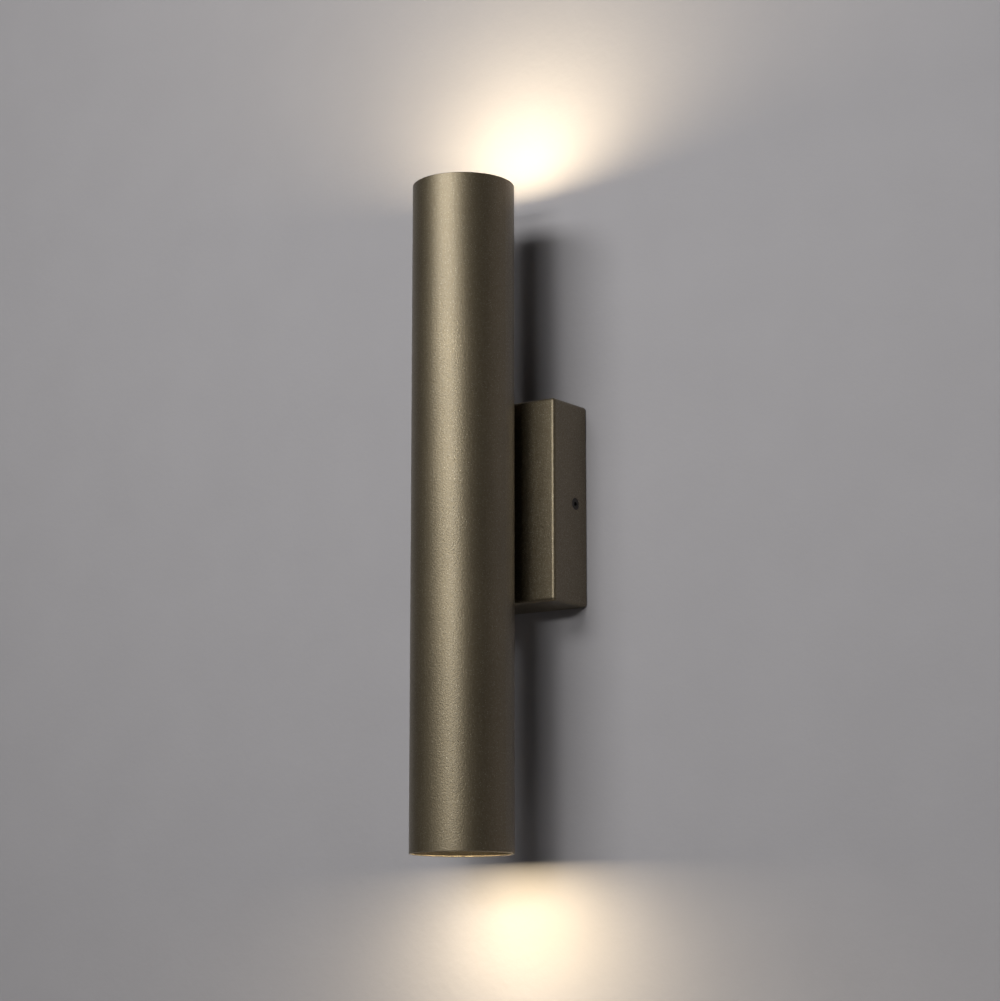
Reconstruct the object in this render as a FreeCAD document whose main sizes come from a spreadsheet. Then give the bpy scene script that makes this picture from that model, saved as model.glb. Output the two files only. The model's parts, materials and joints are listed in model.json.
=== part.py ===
import FreeCAD, Part
import math
import os
import re

import Sketcher

# Tube wall light. An upright round tube, open at both ends, stands off a flat box on the wall. Each end of
# the tube holds a reflector lamp in a twist-lock holder, and the box covers the wall bracket and the wiring.
# Millimetres. The origin is on the wall behind the middle of the box. +X is to the right of someone who
# faces the light, +Y goes into the wall and +Z is up.

SIZES = (
    # name, value, what it is
    ("tube_diameter", 60, "outer diameter of the tube"),
    ("tube_wall", 1.5, "wall of the tube"),
    ("tube_length", 392, "length of the tube"),
    ("tube_drop", 9.3, "how far the middle of the tube lies below the middle of the box"),
    ("rim_bevel", 0.3, "bevel of the tube's rims"),
    ("box_width", 85, "width of the box"),
    ("box_height", 120, "height of the box"),
    ("box_depth", 34, "depth of the box from its open back to its front"),
    ("box_wall", 1.5, "sheet of the box"),
    ("box_round", 2, "rounding of the box's outer edges"),
    ("wall_gap", 0.6, "shadow gap between the box and the wall"),
    ("spacer_thickness", 2, "thinnest part of the saddle spacer, between box and tube"),
    ("spacer_diameter", 22, "diameter of the saddle spacer"),
    ("peg_diameter", 3, "locating pegs of the saddle spacer"),
    ("peg_length", 1.2, "how far the pegs stand into the box front"),
    ("peg_offset", 7.6, "distance of each peg from the nipple's axis"),
    ("nipple_diameter", 10, "outer diameter of the hollow nipple"),
    ("nipple_bore", 7.6, "bore of the hollow nipple"),
    ("nipple_proud", 2, "how far the nipple stands out of its nuts"),
    ("nut_width", 14, "nipple nuts across flats"),
    ("nut_thickness", 3, "thickness of the nipple nuts"),
    ("washer_diameter", 16, "nipple washers"),
    ("washer_thickness", 1, "thickness of the nipple washers"),
    ("bush_wall", 0.5, "wall of the edge bushes in the nipple"),
    ("bush_collar", 1, "collar of the edge bushes"),
    ("bush_reach", 5, "how far the edge bushes reach into the nipple"),
    ("bracket_width", 66, "width of the wall bracket's plate"),
    ("bracket_height", 112, "height of the wall bracket"),
    ("bracket_sheet", 2, "sheet of the wall bracket"),
    ("bracket_rise", 5, "how far the bracket's platform stands off the wall"),
    ("foot_length", 12, "each foot of the bracket that lies on the wall"),
    ("bend_inside", 0.8, "inside radius of the folds in sheet"),
    ("ear_height", 22, "height of the ears that take the side screws"),
    ("ear_reach", 20, "how far the ears reach from the wall"),
    ("plate_corner", 3, "rounded corners of the bracket"),
    ("wall_hole", 5, "holes for the wall screws"),
    ("wall_spacing", 100, "distance between the wall screws"),
    ("screw_setback", 12, "distance of the side screws from the wall"),
    ("side_screw", 4, "thread of the side screws"),
    ("side_head", 7.2, "head of the side screws"),
    ("side_length", 8, "length of the side screws"),
    ("side_socket", 2.5, "hexagon socket of the side screws across flats"),
    ("socket_depth", 1.6, "depth of that socket"),
    ("entry_hole", 18, "hole in the bracket for the supply cable"),
    ("entry_drop", 24, "how far that hole lies below the middle"),
    ("grommet_bore", 12, "bore of the grommet in that hole"),
    ("grommet_flange", 22, "flange of the grommet"),
    ("grommet_lip", 1.3, "thickness of the grommet's flanges"),
    ("clamp_shift", 15, "how far the cable clamp lies left of the middle"),
    ("clamp_lift", 2, "how far the cable clamp lies above the middle"),
    ("clamp_width", 25, "length of the cable clamp"),
    ("clamp_depth", 8, "width of the cable clamp along the cable"),
    ("clamp_bore", 7, "cable that the clamp takes"),
    ("clamp_wall", 2.6, "material of the clamp"),
    ("clamp_spacing", 18.5, "distance between the clamp's screws"),
    ("small_screw", 3, "thread of the small screws"),
    ("small_head", 5.4, "head of the small screws"),
    ("head_height", 2, "height of the small screw heads"),
    ("small_length", 6, "length of the small screws in the bracket"),
    ("terminal_lift", 24, "how far the terminal block lies above the middle"),
    ("terminal_depth", 16, "length of each pole along its wires"),
    ("terminal_height", 10, "height of the block's body over the bracket"),
    ("pole_pitch", 8, "distance between poles"),
    ("pole_height", 5.5, "height of the pole axes over the bracket"),
    ("pole_bore", 5.2, "square wire entries of the terminal block"),
    ("rib_width", 6.4, "ribs that guard the clamp screws"),
    ("rib_height", 3, "height of those ribs"),
    ("rib_spacing", 8.4, "distance between the two clamp screws of a pole"),
    ("ledge_length", 5.5, "each fixing foot of the terminal block"),
    ("ledge_width", 8, "width of those feet"),
    ("ledge_thickness", 3, "thickness of those feet"),
    ("insert_side", 5, "square brass insert of a pole"),
    ("insert_bore", 3.2, "square wire way of the insert"),
    ("insert_length", 13, "length of the insert"),
    ("earth_screw", 4, "thread of the earth screw"),
    ("earth_head", 7.6, "head of the earth screw"),
    ("earth_shift", 22, "how far the earth screw lies right of the middle"),
    ("earth_drop", 24, "how far the earth screw lies below the middle"),
    ("tag_thickness", 0.8, "sheet of the earth tags"),
    ("tag_diameter", 8, "ring of the bracket's earth tag"),
    ("tag_tail", 5, "tail of each earth tag between ring and crimp"),
    ("crimp_diameter", 3.2, "crimps on the leads"),
    ("crimp_length", 5, "length of those crimps"),
    ("lead_diameter", 1.9, "insulated internal leads"),
    ("lead_spacing", 2.3, "distance between leads that lie side by side"),
    ("lead_bend", 10.5, "largest arc of a lead"),
    ("lead_drop", 24, "straight start of a lamp lead at its lampholder"),
    ("lead_gather", 57, "where live and neutral come together, from the lampholder"),
    ("lead_slack", 3, "how far the leads hang off the axis of the tube there"),
    ("lead_turn", 13, "where the leads turn into the nipple, from its end"),
    ("live_height", 5, "height of the live leads over the bracket"),
    ("live_shift", 28.6, "how far the live leads run to the right"),
    ("neutral_height", 8.3, "height of the neutral leads over the bracket"),
    ("neutral_shift", 21.6, "how far the neutral leads run to the right"),
    ("earth_loop", 18, "slack of the earth lead that goes to the nipple's tag"),
    ("carrier_width", 20, "width of the lamp carrier"),
    ("carrier_sheet", 1.5, "sheet of the lamp carrier"),
    ("carrier_flange", 6, "stiffening flanges of the carrier"),
    ("flange_relief", 12, "distance between those flanges and the carrier's end tabs"),
    ("tab_diameter", 35, "round end tabs of the carrier"),
    ("tab_hole", 15, "hole in each end tab for the leads"),
    ("holder_diameter", 33, "lampholder body"),
    ("holder_flats", 27, "lampholder body across its flats"),
    ("holder_height", 18, "height of the lampholder body"),
    ("holder_plate", 3.5, "top plate that the lamp pins hook under"),
    ("cap_thickness", 3, "rear cap of the lampholder"),
    ("holder_spacing", 24, "distance between the lampholder's screws"),
    ("contact_width", 4, "width of a contact spring"),
    ("contact_sheet", 0.5, "sheet of a contact spring"),
    ("pin_spacing", 10, "distance between the lamp pins"),
    ("pin_shank", 3.3, "shank of a lamp pin"),
    ("pin_head", 4.9, "head of a lamp pin"),
    ("pin_length", 7, "how far a lamp pin stands out of the lamp"),
    ("pin_head_length", 2.9, "height of the pin's head"),
    ("pin_root", 4, "how deep a lamp pin sits in the lamp base"),
    ("twist_angle", 45, "turn between locked and free, in degrees"),
    ("lamp_diameter", 50, "lamp at its rim"),
    ("lamp_length", 47, "lamp from the face to its seat on the holder"),
    ("lamp_recess", 7, "how far the lamp face lies inside the tube"),
    ("base_diameter", 30, "plastic base of the lamp"),
    ("base_height", 10, "height of that base"),
    ("neck_height", 4, "straight neck of the housing above the base"),
    ("rim_height", 7, "height of the lamp's rim"),
    ("rim_width", 2.4, "width of the lamp's rim round the lens"),
    ("ledge_inset", 1.8, "ledge under the lens"),
    ("lens_thickness", 2, "thickness of the lens"),
    ("lens_inset", 0.4, "how far the lens lies below the rim"),
    ("board_thickness", 1.6, "light board"),
    ("emitter_diameter", 12, "emitter on the board"),
    ("emitter_height", 1, "height of the emitter"),
    ("emitter_gap", 0.8, "air between emitter and lens"),
    ("fin_count", 12, "slots between the lamp's cooling fins"),
    ("fin_slot", 2.4, "width of those slots"),
    ("fin_depth", 2.2, "depth of those slots"),
    ("fin_margin", 3, "plain housing above and below the slots"),
    ("fit_gap", 0.1, "play of close fits"),
    ("seat_gap", 0.3, "air between a moving or sheet part and its seat"),
)

PLACES = (
    # name, how it follows from the sizes above
    ("tube_radius", "tube_diameter / 2"),
    ("bore_radius", "tube_radius - tube_wall"),
    ("box_front", "-(wall_gap + box_depth)"),
    ("box_inside", "box_front + box_wall"),
    ("tube_axis", "box_front - spacer_thickness - tube_radius"),
    ("tube_top", "tube_length / 2 - tube_drop"),
    ("tube_foot", "-tube_length / 2 - tube_drop"),
    ("carrier_reach", "sqrt(bore_radius * bore_radius - carrier_width * carrier_width / 4)"),
    ("carrier_back", "tube_axis + carrier_reach - fit_gap"),
    ("carrier_face", "carrier_back - carrier_sheet"),
    ("nipple_inner", "carrier_face - washer_thickness - nut_thickness - nipple_proud"),
    ("nipple_outer", "box_inside + tag_thickness + washer_thickness + nut_thickness + nipple_proud"),
    ("platform_back", "-bracket_rise"),
    ("platform_face", "-(bracket_rise + bracket_sheet)"),
    ("ear_face", "box_width / 2 - box_wall - seat_gap"),
    ("pole_axis", "platform_face - pole_height"),
    ("rib_top", "platform_face - terminal_height - rib_height"),
    ("ledge_screw", "pole_pitch * 1.5 + ledge_length / 2"),
    ("earth_top", "platform_face - 2 * tag_thickness"),
    ("stack_height", "seat_gap + holder_height + cap_thickness"),
    ("upper_seat", "tube_top - lamp_recess - lamp_length"),
    ("lower_seat", "tube_foot + lamp_recess + lamp_length"),
    ("upper_tab", "upper_seat - stack_height"),
    ("lower_tab", "lower_seat + stack_height"),
    ("holder_back", "-(seat_gap + holder_height)"),
    ("plate_back", "-(seat_gap + holder_plate)"),
    ("contact_top", "-(pin_length + seat_gap)"),
    ("pin_radius", "pin_spacing / 2"),
    ("ledge_level", "lamp_length - lens_inset - lens_thickness"),
    ("board_level", "ledge_level - emitter_gap - emitter_height - board_thickness"),
    ("lens_radius", "lamp_diameter / 2 - rim_width"),
    ("neck_level", "base_height + neck_height"),
    ("rim_level", "lamp_length - rim_height"),
    ("lead_end", "insert_length / 2 + seat_gap"),
    ("lead_beside", "(pole_bore - lead_diameter) / 3"),
    ("crimp_grip", "crimp_length / 5"),
)

TURNS = {
    "+x": FreeCAD.Rotation(FreeCAD.Vector(0, 1, 0), 90),
    "-x": FreeCAD.Rotation(FreeCAD.Vector(0, 1, 0), -90),
    "+y": FreeCAD.Rotation(FreeCAD.Vector(1, 0, 0), -90),
    "-y": FreeCAD.Rotation(FreeCAD.Vector(1, 0, 0), 90),
    "+z": FreeCAD.Rotation(),
    "-z": FreeCAD.Rotation(FreeCAD.Vector(1, 0, 0), 180),
}
SIDES = ("upper", "lower")
FACING = {"upper": "+z", "lower": "-z"}
POLES = {"live": 1, "earth": 0, "neutral": -1}
LEAD_SIDES = 6

doc = FreeCAD.newDocument("TubeWallLight")
sheet = doc.addObject("Spreadsheet::Sheet", "Sizes")
nodes = {}


# ---- the sheet and what is bound to it ----


def write_sheet():
    """Writes the sizes as plain numbers and the places as formulas, each under its own name."""
    for row, (name, value, note) in enumerate(SIZES, 1):
        sheet.set(f"A{row}", note)
        sheet.set(f"B{row}", str(value))
        sheet.setAlias(f"B{row}", name)
    for row, (name, formula) in enumerate(PLACES, len(SIZES) + 1):
        sheet.set(f"A{row}", "follows from the sizes")
        sheet.set(f"B{row}", "=" + formula)
        sheet.setAlias(f"B{row}", name)
    doc.recompute()


def number(expression):
    """The value of an expression of sizes, for the parts that are worked out here."""
    return float(sheet.evalExpression(expression))


def linked(expression):
    """The same expression with each size looked up in the sheet."""
    return re.sub(r"\b[a-z]+(?:_[a-z]+)+\b", r"Sizes.\g<0>", expression)


def bind(item, **sizes):
    for name, expression in sizes.items():
        item.setExpression(name, linked(expression))


def place(item, at, facing="+z"):
    """Puts an item at a place given as three expressions, with its own Z turned to face one way."""
    item.Placement = FreeCAD.Placement(FreeCAD.Vector(*map(number, at)), TURNS[facing])
    for axis, expression in zip("xyz", at):
        if expression != "0":
            item.setExpression("Placement.Base." + axis, linked(expression))


def node(name, item):
    """Names a finished sub-part, which is written to its own file."""
    item.Label = name
    nodes[name] = item
    return item


# ---- solids made from primitives ----


def cylinder(name, radius, length, at=("0", "0", "0"), facing="+z"):
    item = doc.addObject("Part::Cylinder", name)
    bind(item, Radius=radius, Height=length)
    place(item, at, facing)
    return item


def cone(name, radius, end_radius, length, at=("0", "0", "0"), facing="+z"):
    item = doc.addObject("Part::Cone", name)
    bind(item, Radius1=radius, Radius2=end_radius, Height=length)
    place(item, at, facing)
    return item


def block(name, size, middle):
    """A box by its size and its middle."""
    item = doc.addObject("Part::Box", name)
    bind(item, Length=size[0], Width=size[1], Height=size[2])
    place(item, [f"{m} - ({s}) / 2" for m, s in zip(middle, size)])
    return item


def hexagon(name, across, length, at=("0", "0", "0"), facing="+z"):
    """A hexagonal prism by its width across flats."""
    item = doc.addObject("Part::Prism", name)
    item.Polygon = 6
    bind(item, Circumradius=f"({across}) / sqrt(3)", Height=length)
    place(item, at, facing)
    return item


def fused(name, items):
    item = doc.addObject("Part::MultiFuse", name)
    item.Shapes = items
    item.Refine = True
    return item


def cut(name, base, tools):
    item = doc.addObject("Part::Cut", name)
    item.Base = base
    item.Tool = tools[0] if len(tools) == 1 else fused(name + "_tools", tools)
    item.Refine = True
    return item


def group(name, items):
    """Like pieces that share one file, each still a solid of its own."""
    item = doc.addObject("Part::Compound", name)
    item.Links = items
    return item


def screw(name, thread, length, head, height, at, facing):
    """A round-headed screw whose head rests at the given place and whose tip faces the given way."""
    back = {"+": "-", "-": "+"}[facing[0]] + facing[1]
    parts = [
        cylinder(name + "_shank", f"({thread}) / 2 - fit_gap / 2", length, at, facing),
        cylinder(name + "_head", f"({head}) / 2", height, at, back),
    ]
    return fused(name, parts)


# ---- bodies made from sketches ----


def new_body(name, at=("0", "0", "0"), facing="+z"):
    body = doc.addObject("PartDesign::Body", name)
    place(body, at, facing)
    return body


def origin_of(body, role):
    return next(item for item in body.Origin.OriginFeatures if item.Role == role)


def new_sketch(body, role, offset="0"):
    """A sketch on one of the body's planes, shifted along the plane's normal."""
    sketch = body.newObject("Sketcher::SketchObject", body.Name + "_sketch")
    sketch.AttachmentSupport = (origin_of(body, role), [""])
    sketch.MapMode = "FlatFace"
    if offset != "0":
        sketch.setExpression("AttachmentOffset.Base.z", linked(offset))
    return sketch


def hold(sketch, shape, point, x, y):
    """Ties a point of the sketch to a place given by two expressions."""
    for kind, expression, axis in (("DistanceX", x, -2), ("DistanceY", y, -1)):
        if expression == "0":
            sketch.addConstraint(Sketcher.Constraint("PointOnObject", shape, point, axis))
            continue
        value = number(expression)
        index = sketch.addConstraint(Sketcher.Constraint(kind, -1, 1, shape, point, value))
        sketch.setExpression(f"Constraints[{index}]", linked(expression))


def outline(sketch, points):
    """A closed outline of straight lines through corners given as pairs of expressions."""
    corners = [FreeCAD.Vector(number(x), number(y), 0) for x, y in points]
    first = sketch.GeometryCount
    last = first + len(points) - 1
    for start, end in zip(corners, corners[1:] + corners[:1]):
        sketch.addGeometry(Part.LineSegment(start, end))
    for line, (x, y) in enumerate(points, first):
        before = last if line == first else line - 1
        sketch.addConstraint(Sketcher.Constraint("Coincident", before, 2, line, 1))
        hold(sketch, line, 1, x, y)


def rectangle(sketch, width, height, middle=("0", "0")):
    x, y = middle
    outline(sketch, [
        (f"{x} - ({width}) / 2", f"{y} - ({height}) / 2"),
        (f"{x} + ({width}) / 2", f"{y} - ({height}) / 2"),
        (f"{x} + ({width}) / 2", f"{y} + ({height}) / 2"),
        (f"{x} - ({width}) / 2", f"{y} + ({height}) / 2"),
    ])


def circle(sketch, radius, x="0", y="0"):
    middle = FreeCAD.Vector(number(x), number(y), 0)
    shape = sketch.addGeometry(Part.Circle(middle, FreeCAD.Vector(0, 0, 1), number(radius)))
    index = sketch.addConstraint(Sketcher.Constraint("Radius", shape, number(radius)))
    sketch.setExpression(f"Constraints[{index}]", linked(radius))
    if (x, y) == ("0", "0"):
        sketch.addConstraint(Sketcher.Constraint("Coincident", shape, 3, -1, 1))
    else:
        hold(sketch, shape, 3, x, y)


def pad(body, sketch, length, both_ways=False, backward=False):
    item = body.newObject("PartDesign::Pad", body.Name + "_pad")
    item.Profile = sketch
    bind(item, Length=length)
    item.SideType = "Symmetric" if both_ways else "One side"
    item.Reversed = backward
    doc.recompute()
    return item


def pocket(body, sketch, depth=None, both_ways=False, forward=False):
    """Cuts a sketch out of the body, right through unless a depth is given."""
    before = body.Shape.Volume
    item = body.newObject("PartDesign::Pocket", body.Name + "_pocket")
    item.Profile = sketch
    item.SideType = "Symmetric" if both_ways else "One side"
    item.Reversed = forward
    if depth is None:
        item.Type = "ThroughAll"
    else:
        bind(item, Length=depth)
    doc.recompute()
    if not body.Shape.Volume < before:
        raise RuntimeError(f"{item.Name} cuts nothing")
    return item


def revolve(body, sketch, axis="V_Axis"):
    item = body.newObject("PartDesign::Revolution", body.Name + "_turned")
    item.Profile = sketch
    item.ReferenceAxis = (sketch, [axis])
    item.Angle = 360
    doc.recompute()
    return item


def groove(body, sketch, axis="V_Axis", angle="360"):
    before = body.Shape.Volume
    item = body.newObject("PartDesign::Groove", body.Name + "_groove")
    item.Profile = sketch
    item.ReferenceAxis = (sketch, [axis])
    bind(item, Angle=angle)
    doc.recompute()
    if not body.Shape.Volume < before:
        raise RuntimeError(f"{item.Name} cuts nothing")
    return item


def round_pattern(body, items, count):
    """Repeats features round the body's own Z axis."""
    item = body.newObject("PartDesign::PolarPattern", body.Name + "_pattern")
    item.Originals = items
    item.Axis = (origin_of(body, "Z_Axis"), [""])
    item.Angle = 360
    bind(item, Occurrences=count)
    body.Tip = item
    doc.recompute()
    return item


def finish_edges(body, kind, size, wanted):
    """Rounds or bevels the edges of the body whose middle and direction pass a test."""
    base = body.Tip
    names = []
    for index, edge in enumerate(base.Shape.Edges, 1):
        middle = edge.valueAt((edge.FirstParameter + edge.LastParameter) / 2)
        direction = edge.tangentAt((edge.FirstParameter + edge.LastParameter) / 2)
        if wanted(middle, direction):
            names.append(f"Edge{index}")
    if not names:
        raise RuntimeError(f"{body.Name} has no such edge")
    item = body.newObject("PartDesign::" + kind, body.Name + "_edges")
    item.Base = (base, names)
    bind(item, **{"Radius" if kind == "Fillet" else "Size": size})
    doc.recompute()
    return item


def near(value, expression):
    return abs(value - number(expression)) < 1e-4


# ---- tube and box ----


def make_tube():
    body = new_body("tube_body", ("0", "tube_axis", "tube_foot"))
    ring = new_sketch(body, "XY_Plane")
    circle(ring, "tube_radius")
    circle(ring, "bore_radius")
    pad(body, ring, "tube_length")
    finish_edges(
        body,
        "Chamfer",
        "min(rim_bevel; tube_wall / 3)",
        lambda middle, direction: near(middle.z, "0") or near(middle.z, "tube_length"),
    )
    hole = new_sketch(body, "XZ_Plane")
    circle(hole, "nipple_diameter / 2 + fit_gap", "0", "-tube_foot")
    pocket(body, hole)
    node("tube_body", body)


def make_box_cover():
    body = new_body("box_cover")
    back = new_sketch(body, "XZ_Plane", "wall_gap")
    rectangle(back, "box_width", "box_height")
    pad(body, back, "box_depth")
    finish_edges(
        body,
        "Fillet",
        "min(box_round; 2 * box_wall)",
        lambda middle, direction: not near(middle.y, "-wall_gap"),
    )
    inside = new_sketch(body, "XZ_Plane", "wall_gap")
    rectangle(inside, "box_width - 2 * box_wall", "box_height - 2 * box_wall")
    pocket(body, inside, "box_depth - box_wall", forward=True)
    front = new_sketch(body, "XZ_Plane")
    circle(front, "nipple_diameter / 2 + fit_gap")
    for sign in ("", "-"):
        circle(front, "peg_diameter / 2 + fit_gap", "0", sign + "peg_offset")
    pocket(body, front, forward=True)
    cut_side_sinks(body)
    node("box_cover", body)


def cut_side_sinks(body):
    """Countersunk holes for the side screws, one turned cut through both sides of the box."""
    sinks = new_sketch(body, "XY_Plane")
    sinks.setExpression("AttachmentOffset.Base.y", linked("-screw_setback"))
    hole = "side_screw / 2 + fit_gap"
    head = "side_head / 2 + fit_gap"
    for sign in ("", "-"):
        outline(sinks, [
            (f"{sign}(ear_face - box_wall)", "0"),
            (f"{sign}(ear_face - box_wall)", hole),
            (f"{sign}(box_width / 2 - side_head / 2 + side_screw / 2)", hole),
            (f"{sign}(box_width / 2 + box_wall)", f"{head} + box_wall"),
            (f"{sign}(box_width / 2 + box_wall)", "0"),
        ])
    groove(body, sinks, "H_Axis")


def make_side_screws():
    """Countersunk socket screws, flush with the sides of the box and threaded into the bracket's ears."""
    screws = []
    for side, sign, facing, out in (("right", "", "-x", "+x"), ("left", "-", "+x", "-x")):
        name = f"side_screw_{side}"
        at = (f"{sign}box_width / 2", "-screw_setback", "0")
        tip = (f"{sign}(box_width / 2 - socket_depth)", "-screw_setback", "0")
        head_depth = "(side_head - side_screw) / 2"
        solid = fused(name + "_solid", [
            cone(name + "_head", "side_head / 2", "side_screw / 2", head_depth, at, facing),
            cylinder(name + "_shank", "side_screw / 2", "side_length", at, facing),
        ])
        socket = hexagon(name + "_socket", "side_socket", "2 * socket_depth", tip, out)
        screws.append(cut(name, solid, [socket]))
    node("side_screws", group("side_screw_pair", screws))


def make_spacer():
    """A round spacer, flat on the box and hollowed to the tube, with two pegs that stop it turning."""
    bulk = cylinder(
        "spacer_bulk", "spacer_diameter / 2", "spacer_thickness + tube_radius", ("0", "box_front", "0"), "-y"
    )
    pegs = [
        cylinder(f"spacer_peg_{count}", "peg_diameter / 2", "peg_length", ("0", "box_front", place_z), "+y")
        for count, place_z in enumerate(("peg_offset", "-peg_offset"))
    ]
    tube = cylinder(
        "spacer_saddle", "tube_radius", "2 * spacer_diameter", ("0", "tube_axis", "-spacer_diameter")
    )
    hole = cylinder(
        "spacer_hole", "nipple_diameter / 2 + fit_gap", "2 * tube_radius",
        ("0", "box_front + peg_length", "0"), "-y",
    )
    node("saddle_spacer", cut("spacer_part", fused("spacer_solid", [bulk, *pegs]), [tube, hole]))


def make_nipple():
    """The hollow nipple that joins tube and box, and what is on it."""
    length = "nipple_outer - nipple_inner"
    rod = cylinder("nipple_rod", "nipple_diameter / 2", length, ("0", "nipple_inner", "0"), "+y")
    way = cylinder("nipple_way", "nipple_bore / 2", length, ("0", "nipple_inner", "0"), "+y")
    node("threaded_nipple", cut("nipple_part", rod, [way]))

    hole = "nipple_diameter / 2 + fit_gap / 2"
    nuts = []
    washers = []
    bushes = []
    stacks = (
        ("inner", "carrier_face", "nipple_inner", "-y"),
        ("outer", "box_inside + tag_thickness", "nipple_outer", "+y"),
    )
    for name, seat, end, facing in stacks:
        sign = facing[0]
        washer_at = ("0", seat, "0")
        nut_at = ("0", f"{seat} {sign} washer_thickness", "0")
        disc = cylinder(f"{name}_washer_disc", "washer_diameter / 2", "washer_thickness", washer_at, facing)
        disc_hole = cylinder(f"{name}_washer_hole", hole, "washer_thickness", washer_at, facing)
        washers.append(cut(f"{name}_washer", disc, [disc_hole]))
        prism = hexagon(f"{name}_nut_prism", "nut_width", "nut_thickness", nut_at, facing)
        prism_hole = cylinder(f"{name}_nut_hole", hole, "nut_thickness", nut_at, facing)
        nuts.append(cut(f"{name}_nut", prism, [prism_hole]))
        bushes.append(make_bush(f"{name}_bush", end, facing))
    node("nipple_washers", group("washer_pair", washers))
    node("nipple_nuts", group("nut_pair", nuts))
    node("nipple_bushes", group("bush_pair", bushes))


def make_bush(name, end, facing):
    """An edge bush with its collar on the nipple's end and its sleeve inside the bore."""
    body = new_body(name, ("0", end, "0"), facing)
    section = new_sketch(body, "XZ_Plane")
    sleeve = "nipple_bore / 2 - fit_gap / 2"
    bore = "nipple_bore / 2 - fit_gap / 2 - bush_wall"
    outline(section, [
        (bore, "-bush_reach"),
        (sleeve, "-bush_reach"),
        (sleeve, "0"),
        ("nipple_diameter / 2", "0"),
        ("nipple_diameter / 2", "bush_collar"),
        (bore, "bush_collar"),
    ])
    revolve(body, section)
    return body


# ---- wall bracket and what is on it ----


def make_bracket():
    """Folded sheet with two feet on the wall, a raised platform and two ears for the side screws."""
    body = new_body("wall_bracket")
    top = "bracket_height / 2"
    step = "(bracket_height / 2 - foot_length)"
    under = "(bracket_height / 2 - foot_length - bracket_sheet)"
    hat = new_sketch(body, "YZ_Plane")
    outline(hat, [
        ("-bracket_sheet", top),
        ("-bracket_sheet", step),
        ("platform_face", step),
        ("platform_face", "-" + step),
        ("-bracket_sheet", "-" + step),
        ("-bracket_sheet", "-" + top),
        ("0", "-" + top),
        ("0", "-" + under),
        ("platform_back", "-" + under),
        ("platform_back", under),
        ("0", under),
        ("0", top),
    ])
    pad(body, hat, "bracket_width", both_ways=True)
    ears = new_sketch(body, "XY_Plane")
    inner = "(ear_face - bracket_sheet)"
    outline(ears, [
        ("-ear_face", "-ear_reach"),
        ("-ear_face", "platform_back"),
        ("ear_face", "platform_back"),
        ("ear_face", "-ear_reach"),
        (inner, "-ear_reach"),
        (inner, "platform_face"),
        ("-" + inner, "platform_face"),
        ("-" + inner, "-ear_reach"),
    ])
    pad(body, ears, "ear_height", both_ways=True)

    def outer_fold(middle, direction):
        foot = near(middle.y, "platform_face") and near(abs(middle.z), step)
        foot = foot or near(middle.y, "0") and near(abs(middle.z), under)
        return foot or near(middle.y, "platform_back") and near(abs(middle.x), "ear_face")

    def inner_fold(middle, direction):
        foot = near(middle.y, "platform_back") and near(abs(middle.z), under)
        foot = foot or near(middle.y, "-bracket_sheet") and near(abs(middle.z), step)
        return foot or near(middle.y, "platform_face") and near(abs(middle.x), inner)

    def plate_corner(middle, direction):
        foot = near(abs(middle.x), "bracket_width / 2") and near(abs(middle.z), top)
        return foot or near(middle.y, "-ear_reach") and near(abs(middle.z), "ear_height / 2")

    finish_edges(body, "Fillet", "bend_inside + bracket_sheet", outer_fold)
    finish_edges(body, "Fillet", "bend_inside", inner_fold)
    finish_edges(body, "Fillet", "plate_corner", plate_corner)
    drill_bracket(body)
    node("wall_bracket", body)


def drill_bracket(body):
    """Wall-screw holes, the cable entry and the threaded holes of the bracket."""
    holes = new_sketch(body, "XZ_Plane")
    for sign in ("", "-"):
        circle(holes, "wall_hole / 2", "0", sign + "wall_spacing / 2")
        circle(holes, "small_screw / 2", "0", f"terminal_lift {sign or '+'} ledge_screw")
        circle(holes, "small_screw / 2", f"-clamp_shift {sign or '+'} clamp_spacing / 2", "clamp_lift")
    circle(holes, "entry_hole / 2", "0", "-entry_drop")
    circle(holes, "earth_screw / 2", "earth_shift", "-earth_drop")
    pocket(body, holes, forward=True)
    ears = new_sketch(body, "YZ_Plane")
    circle(ears, "side_screw / 2 + fit_gap / 2", "-screw_setback", "0")
    pocket(body, ears, both_ways=True)


def make_grommet():
    """A rubber grommet whose groove grips the edge of the bracket's cable hole."""
    body = new_body("entry_grommet", ("0", "0", "-entry_drop"))
    section = new_sketch(body, "XY_Plane")
    bore = "grommet_bore / 2"
    flange = "grommet_flange / 2"
    neck = "entry_hole / 2 - fit_gap / 2"
    outline(section, [
        (bore, "platform_face - grommet_lip"),
        (flange, "platform_face - grommet_lip"),
        (flange, "platform_face"),
        (neck, "platform_face"),
        (neck, "platform_back"),
        (f"{flange} - grommet_lip", "platform_back"),
        (f"{flange} - grommet_lip", "platform_back + grommet_lip"),
        (bore, "platform_back + grommet_lip"),
    ])
    revolve(body, section)
    node("entry_grommet", body)


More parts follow.
